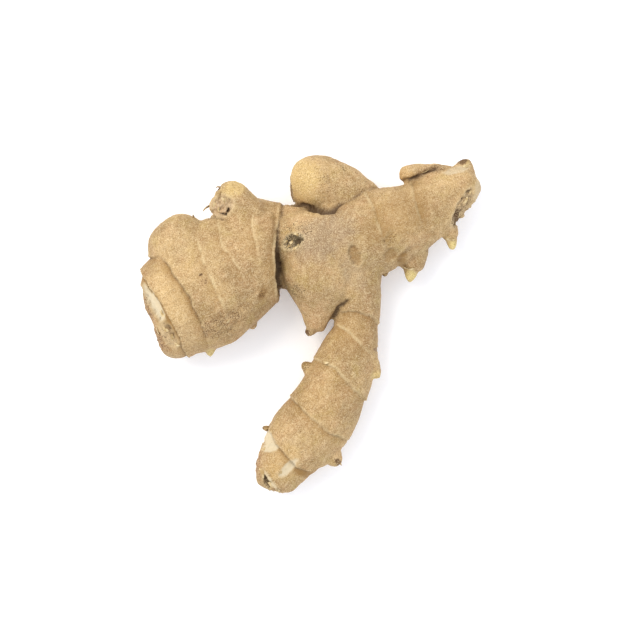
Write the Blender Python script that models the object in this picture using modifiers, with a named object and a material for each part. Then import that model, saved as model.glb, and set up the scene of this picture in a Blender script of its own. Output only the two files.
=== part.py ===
"""A fresh ginger root: one rhizome of stubby, slightly flattened lobes, lying as it rests on a table.

Units are metres, +Z up. The origin is on the table, at the middle of the root's outline seen from above.
Each lobe is a coarse cage drawn through a few stations, rounded by Subdivision Surface. A voxel Remesh
grows all the lobes into one skin, and a cutter flattens the spots that the root's own weight rests on.
"""

import math

import bmesh
import bpy
from mathutils import Matrix, Vector

MM = 0.001

ROOT_NAME = "ginger_root"
SKIN_COLOUR = (0.56, 0.38, 0.19, 1.0)
SKIN_ROUGHNESS = 0.62

CAGE_SIDES = 12
CAGE_LEVELS = 3
# Catmull-Clark draws a 12-sided ring in to this share of its radius, so the cage is made larger by it.
RING_SHRINK = (4 + 2 * math.cos(2 * math.pi / CAGE_SIDES)) / 6

GROWTH_VOXEL = 0.8 * MM
SOFTEN_FACTOR = 0.5
SOFTEN_REPEATS = 6
KEPT_SHARE = 0.07
REST_DEPTH = 12 * MM
OUTLINE_REACH = 100 * MM

# Every lobe is (flatness, stations). A station is (x, y, z, half width) in millimetres, from the lobe's
# buried base to its tip, and flatness is the lobe's height as a share of its width.
LOBES = {
    # The widest lobe, on the left, which broke off at its far end.
    "left_lobe": (0.76, [
        (-12.7, 28.8, 17, 14.8), (-14.2, 28.8, 17, 16.6), (-19.5, 27.8, 17, 19.8), (-31.5, 21, 17, 22.3),
        (-40.5, 14, 17, 23), (-48, 9.5, 16.5, 22.5), (-54.5, 5.5, 16, 18.8), (-58.8, 2.8, 16, 15.5),
    ]),
    "joint_core": (0.9, [(-22, 33, 16, 9.5), (-12, 33, 16, 10.3), (-2, 33, 16, 9.5)]),
    "joint_foot": (0.9, [(-22, 22, 12.5, 8), (-12, 22, 12, 7.6), (-2, 22, 12.5, 8)]),
    "left_heel": (0.95, [(-43, 5, 16.5, 13), (-50, 0.5, 16, 13.3), (-55.5, -2.2, 15.5, 11.8), (-58.3, -3.4, 15, 8)]),
    "left_rim": (0.95, [(-53, 9.5, 16, 10), (-58, 7.4, 15.5, 9.2), (-62, 5.8, 15, 6.4)]),
    "left_shoulder": (0.95, [(-40, 18, 18, 12), (-48, 28.5, 18, 13), (-53.5, 35, 17, 11.8), (-57, 39, 17, 6.5)]),
    "crown_nub": (0.9, [(-21, 32, 19, 10), (-27, 43, 19, 9.5), (-31, 50, 19, 6.5), (-33, 54, 19, 3)]),
    "crown_knuckle": (0.95, [(-28, 42, 21, 6), (-34, 45.5, 22, 5), (-38, 46.5, 22, 2.5)]),
    # The middle of the root, drawn down to a short snout.
    "middle_lobe": (0.92, [
        (3, 45, 15, 11), (3, 39, 17, 15.2), (3.5, 28, 17, 15.7), (3.8, 18, 16, 15.4), (3, 9.5, 15, 10.6),
        (2.2, 3, 14, 5.2), (1.8, -3, 14, 4.4),
    ]),
    "snout_knob": (0.9, [(1.5, -1, 13.5, 2.6), (-0.8, -2.6, 13.5, 2), (-2.6, -3, 13.5, 1)]),
    "joint_shoulder": (0.95, [(-25, 41.5, 16, 8), (-18.5, 40.6, 16, 7.3), (-12.5, 40.3, 15.5, 6.2), (-7.5, 40.6, 14.5, 5.4)]),
    "right_arm": (0.96, [
        (-3, 29, 16.5, 13), (9, 31, 16, 15.5), (21, 34, 15.2, 16.5), (32, 38.5, 14, 15),
        (43, 43, 13.7, 11.8), (51.5, 48.5, 14.5, 9.4), (57.5, 54, 15.5, 8.2), (62.4, 57.5, 15.5, 6.4),
    ]),
    "arm_horn": (0.9, [(57, 55, 15.5, 6), (58.5, 60.5, 15.5, 4.2), (59, 64, 15.5, 1.8)]),
    "arm_lip": (0.9, [(57, 57.5, 15, 3.5), (47, 58, 14, 3.3), (39, 57.8, 14, 3.6), (33, 57, 14, 3.4)]),
    "round_lobe": (0.92, [
        (28, 44, 14, 5), (19.5, 48, 14, 7.6), (11.5, 51.7, 14, 10), (3, 53.8, 14, 11.3),
        (-3.6, 54.6, 13.5, 9.8), (-8.2, 54.8, 13.5, 5.8),
    ]),
    "round_lobe_base": (0.95, [(1, 53, 13.5, 6.5), (-2.8, 50, 13.5, 5.4), (-5.2, 48.2, 13.5, 3.2)]),
    "round_lobe_crown": (0.95, [(4, 55, 13.5, 8), (5.6, 61.2, 14, 4.4), (6.4, 64.2, 14, 1.8)]),
    "finger": (0.84, [
        (14, 30, 15.5, 12), (15, 20, 15.5, 12.3), (17, 11, 14.3, 9.9), (18, 4, 12.8, 8.5),
        (17.2, -2, 12, 8.9), (14.5, -10, 11.5, 11.2),
        (11.3, -20, 11.3, 12.5), (6.6, -30, 11.3, 13), (0, -39.5, 11.3, 14.8), (-7.5, -48, 11.3, 12.8),
        (-12, -55, 11, 10), (-13.8, -60, 11, 8.2), (-14.7, -63.2, 11, 6.3),
    ]),
    "finger_shoulder": (0.9, [(-8, -42, 11.3, 8), (-13.5, -41.4, 11.3, 5.8), (-16.8, -41.2, 11.2, 3.2)]),
    "finger_corner": (0.95, [(-14, -49, 11, 7), (-16.3, -55.5, 10.5, 5.2), (-17.8, -60.8, 10.5, 3)]),
    "first_bud": (0.95, [(39.3, 31, 13, 5.8), (38.7, 26.5, 12.5, 4.9), (38.4, 22.5, 12, 4.4), (38.2, 20.8, 12, 3.6)]),
    "first_bud_tip": (0.95, [(38.2, 23, 12, 3.2), (37.8, 19.6, 11.7, 2.6), (37.5, 16, 11.5, 1)]),
    "second_bud": (0.95, [(51, 39.5, 13, 4.4), (52.7, 35.5, 12.3, 3.1), (53.4, 32.6, 12, 2.5)]),
    "second_bud_tip": (0.95, [(53.3, 34, 12, 2.2), (53.8, 31, 11.6, 1.8), (54, 28.8, 11.5, 0.7)]),
    "finger_scale_bud": (0.9, [(20, -11, 13, 4.5), (24, -16.5, 13, 3), (26, -20.5, 13, 1.4)]),
    "finger_side_bud": (0.9, [(2, -19, 12, 3.6), (-2, -15.5, 12, 2.2), (-3.5, -14, 12, 1)]),
    "finger_hip": (0.9, [(2, -42, 11.5, 9), (7.5, -44.5, 11.5, 7), (11, -46, 11.5, 4)]),
    "finger_spur": (0.9, [(3, -45, 12, 7), (9, -50.5, 12, 4), (11, -53.5, 12, 1.8)]),
    "left_lobe_spur": (0.9, [(-26, 6, 14, 5), (-22.5, 1, 13, 2.6), (-21.5, -1.5, 13, 1)]),
    "left_lobe_bud": (0.9, [(-39, -6, 13, 4), (-38.5, -10.5, 12, 2), (-38, -12.5, 12, 0.8)]),
}


def clear_scene():
    for old in list(bpy.data.objects):
        bpy.data.objects.remove(old)


def new_collection(name):
    collection = bpy.data.collections.new(name)
    bpy.context.scene.collection.children.link(collection)
    return collection


def headings(centres):
    """The plan direction of a lobe at each of its stations, from the stations on either side."""
    last = len(centres) - 1
    steps = [centres[min(i + 1, last)] - centres[max(i - 1, 0)] for i in range(len(centres))]
    return [math.atan2(step.y, step.x) for step in steps]


def start_face(cage, centre, turn, half_width, flatness):
    """The 12-sided face that a lobe grows from. It stands upright, across the lobe."""
    upright = (
        Matrix.Translation(centre)
        @ Matrix.Rotation(turn, 4, "Z")
        @ Matrix.Rotation(math.radians(90), 4, "Y")
        @ Matrix.Diagonal((flatness, 1, 1, 1))
    )
    ring = bmesh.ops.create_circle(
        cage, cap_ends=True, segments=CAGE_SIDES, radius=half_width, matrix=upright
    )["verts"]
    return ring[0].link_faces[0]


def extrude_face(cage, face):
    grown = bmesh.ops.extrude_face_region(cage, geom=[face])["geom"]
    return next(part for part in grown if isinstance(part, bmesh.types.BMFace))


def add_lobe(cage, flatness, stations):
    """Extrudes a face through the stations, turning and sizing it at each one."""
    centres = [Vector(station[:3]) * MM for station in stations]
    half_widths = [station[3] * MM / RING_SHRINK for station in stations]
    turns = headings(centres)
    face = start_face(cage, centres[0], turns[0], half_widths[0], flatness)
    for i in range(1, len(stations)):
        face = extrude_face(cage, face)
        ring = list(face.verts)
        bmesh.ops.translate(cage, verts=ring, vec=centres[i] - centres[i - 1])
        bmesh.ops.rotate(
            cage,
            verts=ring,
            cent=centres[i],
            matrix=Matrix.Rotation(turns[i] - turns[i - 1], 3, "Z"),
        )
        bmesh.ops.scale(
            cage,
            verts=ring,
            vec=Vector((1, 1, 1)) * (half_widths[i] / half_widths[i - 1]),
            space=Matrix.Translation(-centres[i]),
        )


def lobe_cages(name):
    """One object that holds every lobe's cage."""
    cage = bmesh.new()
    for flatness, stations in LOBES.values():
        add_lobe(cage, flatness, stations)
    bmesh.ops.recalc_face_normals(cage, faces=cage.faces)
    mesh = bpy.data.meshes.new(name)
    cage.to_mesh(mesh)
    cage.free()
    return bpy.data.objects.new(name, mesh)


def table_cutter():
    """A block whose top is the table, to flatten what the root rests on."""
    bpy.ops.mesh.primitive_cube_add(size=2 * OUTLINE_REACH)
    cutter = bpy.context.object
    cutter.name = "table_cutter"
    for corner in cutter.data.vertices:
        corner.co.z = 0.0 if corner.co.z > 0 else -REST_DEPTH
    cutter.hide_render = True
    cutter.display_type = "WIRE"
    return cutter


def grow_together(root, cutter):
    """Rounds the cages, fuses them into one skin, thins its triangles and flattens what rests on the table."""
    rounding = root.modifiers.new("rounding", "SUBSURF")
    rounding.levels = rounding.render_levels = CAGE_LEVELS

    fusing = root.modifiers.new("fusing", "REMESH")
    fusing.mode = "VOXEL"
    fusing.voxel_size = GROWTH_VOXEL

    softening = root.modifiers.new("softening", "SMOOTH")
    softening.factor = SOFTEN_FACTOR
    softening.iterations = SOFTEN_REPEATS

    thinning = root.modifiers.new("thinning", "DECIMATE")
    thinning.ratio = KEPT_SHARE

    resting = root.modifiers.new("resting", "BOOLEAN")
    resting.operation = "DIFFERENCE"
    resting.object = cutter


def ginger_skin():
    material = bpy.data.materials.new("ginger_skin")
    material.use_nodes = True
    surface = material.node_tree.nodes["Principled BSDF"]
    surface.inputs["Base Color"].default_value = SKIN_COLOUR
    surface.inputs["Roughness"].default_value = SKIN_ROUGHNESS
    surface.inputs["Metallic"].default_value = 0.0
    return material


def main():
    clear_scene()
    ginger = new_collection(ROOT_NAME)
    cutters = new_collection("cutters")

    root = lobe_cages(ROOT_NAME)
    ginger.objects.link(root)
    root.data.materials.append(ginger_skin())

    cutter = table_cutter()
    for home in list(cutter.users_collection):
        home.objects.unlink(cutter)
    cutters.objects.link(cutter)

    grow_together(root, cutter)


main()
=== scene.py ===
"""A fresh ginger root with its dry scales and rootlets, on a pale floor in soft light.

Lengths in the tables are millimetres, in the frame's own axes, and MM turns them to metres. The root is drawn
as a cage of lobes, fused into one surface, and then shaped in code the way a sculptor works over a blank:
swellings first, then the leaf-scar rings, then scars, buds and corky patches, and the skin's fibres last.
Each step also leaves a value on every point, which the skin's material reads for its colour.
"""
import math

import bpy
import numpy as np
from mathutils import Matrix, Vector


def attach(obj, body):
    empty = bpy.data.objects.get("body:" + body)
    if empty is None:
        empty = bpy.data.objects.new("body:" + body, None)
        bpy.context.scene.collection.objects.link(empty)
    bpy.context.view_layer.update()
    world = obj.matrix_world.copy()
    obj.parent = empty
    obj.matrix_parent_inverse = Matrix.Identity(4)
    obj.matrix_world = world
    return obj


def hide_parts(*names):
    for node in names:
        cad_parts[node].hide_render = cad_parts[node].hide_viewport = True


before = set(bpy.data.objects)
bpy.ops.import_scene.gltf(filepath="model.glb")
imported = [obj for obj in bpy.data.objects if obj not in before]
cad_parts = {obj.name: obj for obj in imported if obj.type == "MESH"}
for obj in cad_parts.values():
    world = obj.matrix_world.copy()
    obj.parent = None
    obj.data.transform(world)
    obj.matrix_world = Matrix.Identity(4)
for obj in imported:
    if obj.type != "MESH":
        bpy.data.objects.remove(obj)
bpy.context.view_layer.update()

bl_info = {
    "name": "Ginger Root",
    "version": (1, 0, 0),
    "blender": (4, 5, 0),
    "location": "View3D > Sidebar > Ginger",
    "description": "Grows a fresh ginger root with its scars, buds and rootlets, and sets a soft studio",
    "category": "Add Mesh",
}

MM = 0.001
ROOT_NODE = "ginger_root"
BODY = "root"
FLOOR_GAP = 0.1 * MM
WINDOW_PLACE = (-0.7, 0.6, 1.3)
CAMERA_ABOVE = (3.42 * MM, 2.09 * MM)
CAMERA_LENS = 145.8
SCALE_THICKNESS = 0.16 * MM
CAGE_SIDES = 12
CAGE_LEVELS = 3
# Catmull-Clark draws a 12-sided ring in to this share of its radius, so the cage is made larger by it.
RING_SHRINK = (4 + 2 * math.cos(2 * math.pi / CAGE_SIDES)) / 6

# Every lobe is (flatness, stations). A station is (x, y, z, half width), from the lobe's buried base to its
# tip, and flatness is the lobe's height as a share of its width.
LOBES = {
    "left_lobe": (0.76, [
        (-12.7, 28.8, 17, 14.8), (-14.2, 28.8, 17, 16.6), (-19.5, 27.8, 17, 19.8), (-31.5, 21, 17, 22.3),
        (-40.5, 14, 17, 23), (-48, 9.5, 16.5, 22.5), (-54.5, 5.5, 16, 18.8), (-58.8, 2.8, 16, 15.5),
    ]),
    "joint_core": (0.9, [(-22, 33, 16, 9.5), (-12, 33, 16, 10.3), (-2, 33, 16, 9.5)]),
    "joint_foot": (0.9, [(-22, 22, 12.5, 8), (-12, 22, 12, 7.6), (-2, 22, 12.5, 8)]),
    "left_heel": (0.95, [
        (-43, 5, 16.5, 13), (-50, 0.5, 16, 13.3), (-55.5, -2.2, 15.5, 11.8), (-59.2, -3.2, 15, 8.5),
    ]),
    "left_rim": (0.95, [(-53, 9.5, 16, 10), (-58, 7.4, 15.5, 9.2), (-62.8, 5.2, 15, 7)]),
    "left_shoulder": (0.95, [
        (-40, 18, 18, 12), (-48, 28.5, 18, 13), (-53.5, 35, 17, 11.8), (-57, 39, 17, 6.5),
    ]),
    "crown_nub": (0.9, [(-21, 32, 19, 10), (-27, 43, 19, 9.5), (-31, 50, 19, 6.5), (-33, 54, 19, 3)]),
    "crown_knuckle": (0.95, [(-28, 42, 21, 6), (-34, 45.5, 22, 5), (-38, 46.5, 22, 2.5)]),
    "middle_lobe": (0.92, [
        (3, 45, 15, 11), (3, 39, 17, 15.2), (3.5, 28, 17, 15.7), (3.8, 18, 16, 15.4), (3, 9.5, 15, 10.6),
        (2.2, 3, 14, 5.2), (1.8, -3, 14, 4.4),
    ]),
    "snout_knob": (0.9, [(1.5, -1, 13.5, 2.6), (-0.8, -2.6, 13.5, 2), (-2.6, -3, 13.5, 1)]),
    "joint_shoulder": (0.95, [
        (-25, 41.5, 16, 8), (-18.5, 40.6, 16, 7.3), (-12.5, 40.3, 15.5, 6.2), (-7.5, 40.6, 14.5, 5.4),
    ]),
    "joint_bridge": (0.95, [(-12.5, 40.2, 15.5, 6), (-6, 40.4, 15, 5.7), (1, 40.8, 14.5, 5)]),
    "right_arm": (0.96, [
        (-3, 29, 16.5, 13), (9, 31, 16, 15.5), (21, 34, 15.2, 16.5), (32, 38.5, 14, 15),
        (43, 43, 13.7, 11.8), (51.5, 48.5, 14.5, 9.4), (57.5, 54, 15.5, 8.2), (62.4, 57.5, 15.5, 6.4),
    ]),
    "arm_horn": (0.9, [(57, 55, 15.5, 6), (58.5, 60.5, 15.5, 4.2), (59, 64, 15.5, 1.8)]),
    "arm_lip": (0.9, [(57, 57.5, 15, 3.5), (47, 58, 14, 3.3), (39, 57.8, 14, 3.6), (33, 57, 14, 3.4)]),
    "round_lobe": (0.92, [
        (28, 44, 14, 5), (19.5, 48, 14, 7.6), (11.5, 51.7, 14, 10), (3, 53.8, 14, 11.3),
        (-3.6, 54.6, 13.5, 9.8), (-8.2, 54.8, 13.5, 5.8),
    ]),
    "round_lobe_base": (0.95, [(1, 53, 13.5, 6.5), (-2.8, 50, 13.5, 5.4), (-5.2, 48.2, 13.5, 3.2)]),
    "round_lobe_crown": (0.95, [(4, 55, 13.5, 8), (5.6, 61.2, 14, 4.4), (6.4, 64.2, 14, 1.8)]),
    "finger": (0.84, [
        (14, 30, 15.5, 12), (15, 20, 15.5, 12.3), (17, 11, 14.3, 9.9), (18, 4, 12.8, 8.5),
        (17.2, -2, 12, 8.9), (14.5, -10, 11.5, 11.2),
        (11.3, -20, 11.3, 12.5), (6.6, -30, 11.3, 13), (0, -39.5, 11.3, 14.8), (-7.5, -48, 11.3, 12.8),
        (-12, -55, 11, 10), (-13.8, -60, 11, 8.2), (-14.7, -63.2, 11, 6.3),
    ]),
    "finger_shoulder": (0.9, [(-8, -42, 11.3, 8), (-13.5, -41.4, 11.3, 5.8), (-16.8, -41.2, 11.2, 3.2)]),
    "finger_corner": (0.95, [(-14, -49, 11, 7), (-16.3, -55.5, 10.5, 5.2), (-17.8, -60.8, 10.5, 3)]),
    "first_bud": (0.95, [
        (39.3, 31, 13, 5.8), (38.7, 26.5, 12.5, 4.9), (38.4, 22.5, 12, 4.4), (38.2, 20.8, 12, 3.6),
    ]),
    "first_bud_tip": (0.95, [(38.2, 23, 12, 3.2), (37.8, 19.6, 11.7, 2.6), (37.5, 16, 11.5, 1)]),
    "second_bud": (0.95, [(51, 39.5, 13, 4.4), (52.7, 35.5, 12.3, 3.1), (53.4, 32.6, 12, 2.5)]),
    "second_bud_tip": (0.95, [(53.3, 34, 12, 2.2), (53.8, 31, 11.6, 1.8), (54, 28.8, 11.5, 0.7)]),
    "finger_scale_bud": (0.9, [(20, -11, 13, 4.5), (24, -16.5, 13, 3), (26, -20.5, 13, 1.4)]),
    "finger_side_bud": (0.9, [(2, -19, 12, 3.6), (-2, -15.5, 12, 2.2), (-3.5, -14, 12, 1)]),
    "finger_hip": (0.9, [(2, -42, 11.5, 9), (7.5, -44.5, 11.5, 7), (11, -46, 11.5, 4)]),
    "finger_spur": (0.9, [(3, -45, 12, 7), (9, -50.5, 12, 4), (11, -53.5, 12, 1.8)]),
    "left_lobe_spur": (0.9, [(-26, 6, 14, 5), (-22.5, 1, 13, 2.6), (-21.5, -1.5, 13, 1)]),
    "left_lobe_bud": (0.9, [(-39, -6, 13, 4), (-38.5, -10.5, 12, 2), (-38, -12.5, 12, 0.8)]),
}

# The rings that fallen leaf sheaths leave across a lobe, as lines seen from above. Each one is
# (lobe, line, lip height, groove depth, paleness, reach beyond the line's ends).
RINGS = {
    "left_end": (
        "left_lobe",
        [(-63.5, 19.2), (-61.2, 15.4), (-57, 10), (-54.3, 5.5), (-51.7, 0.2), (-49, -5.1), (-48, -8)],
        0.9, 1.3, 0.35, 60,
    ),
    "left_band": (
        "left_lobe",
        [(-61.5, 26), (-57, 26.2), (-52.8, 22.2), (-48.6, 15.4), (-44.8, 10), (-42.2, 4), (-40.7, -0.2)],
        0.55, 0.9, 0.35, 7,
    ),
    "left_thin": ("left_lobe", [(-41, 27.5), (-38, 19.5), (-34.5, 11)], 0.35, 0.15, 1.0, 6),
    "left_faint": ("left_lobe", [(-34, 35), (-33, 30), (-29, 25), (-26, 20)], 0.22, 0.12, 0.8, 4),
    "left_base": ("left_lobe", [(-22, 44.5), (-22, 36.5), (-20.5, 30)], 0.25, 0.15, 0.7, 4),
    "left_collar": ("left_lobe", [(-11.9, 46), (-13.4, 36), (-13.8, 27), (-13.4, 18)], 0.4, 0.0, 0.7, 9),
    "arm_base": ("right_arm", [(21, 49), (23.5, 43.5), (26.3, 34.6)], 0.25, 0.15, 0.8, 5),
    "arm_middle": ("right_arm", [(38, 52), (38.5, 49), (40, 43.5)], 0.2, 0.15, 0.4, 8),
    "finger_neck": (
        "finger", [(8, 3), (10, 4.4), (14, 5.6), (18.4, 5), (23.6, 3), (26, 0.5)], 0.5, 0.4, 0.45, 30,
    ),
    "finger_slant": ("finger", [(11, -0.4), (15.5, -3), (18.7, -6.6)], 0.25, 0.12, 0.8, 5),
    "finger_upper": (
        "finger", [(4.8, -13.8), (9.2, -15.6), (12.5, -19.8), (15.5, -22.8), (20, -27.3)], 0.4, 0.3, 0.9, 8,
    ),
    "finger_middle": (
        "finger", [(-5, -29.5), (-1, -33), (3, -37), (8, -41), (14.6, -43.4)], 0.5, 0.5, 0.7, 10,
    ),
    "finger_end": (
        "finger",
        [(-17, -36.5), (-15.2, -41.2), (-11, -47.3), (-8, -50.3), (-5, -53.8), (-0.4, -55.2), (3, -54)],
        0.5, 0.9, 0.3, 8,
    ),
}

# Where one lobe is pressed against the next, as lines seen from above: (line, depth, half width, dirt and
# painted shade).
CREASES = {
    "joint": ([(-10.6, 46), (-12.2, 36), (-12.5, 27), (-12.2, 18), (-11.4, 12)], 0.9, 0.6, 0.55),
    "joint_slit": ([(-12.4, 28), (-12.3, 22), (-11.8, 15)], 0.9, 0.7, 0.65),
    "under_round_lobe": ([(-7, 46.4), (-1, 45.2), (2, 43.6), (7, 43.6), (10, 45.2)], 1.4, 0.6, 1.0),
    "round_lobe_hollow": ([(1.4, 43.8), (4, 43.2), (7.2, 43.6)], 2.6, 1.0, 1.0),
    "beside_round_lobe": ([(10, 44.8), (14, 46.8), (19, 50.2), (24, 52)], 0.5, 0.5, 0.35),
    "under_snout": ([(13, 8.3), (10.5, 6.6), (8.3, 3.6), (6.6, 0.4)], 1.2, 0.7, 0.5),
    "lip_fold": ([(39.5, 55.9), (42.5, 57.3), (46.3, 59.2)], 1.6, 0.8, 1.0),
    "lip_foot": ([(33.4, 54.2), (36.5, 55.2), (39.5, 55.9)], 0.9, 0.6, 0.7),
    "lip_fold_end": ([(45, 58.8), (51, 59.4), (55, 60)], 0.4, 0.5, 0.2),
    "first_bud_fold": ([(33.2, 23.5), (34.5, 26.5), (37, 28.6)], 0.5, 0.6, 0.2),
    "crown_fold": ([(-38.5, 41.5), (-36.5, 40.5), (-33.5, 40)], 0.8, 0.6, 0.4),
}

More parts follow.
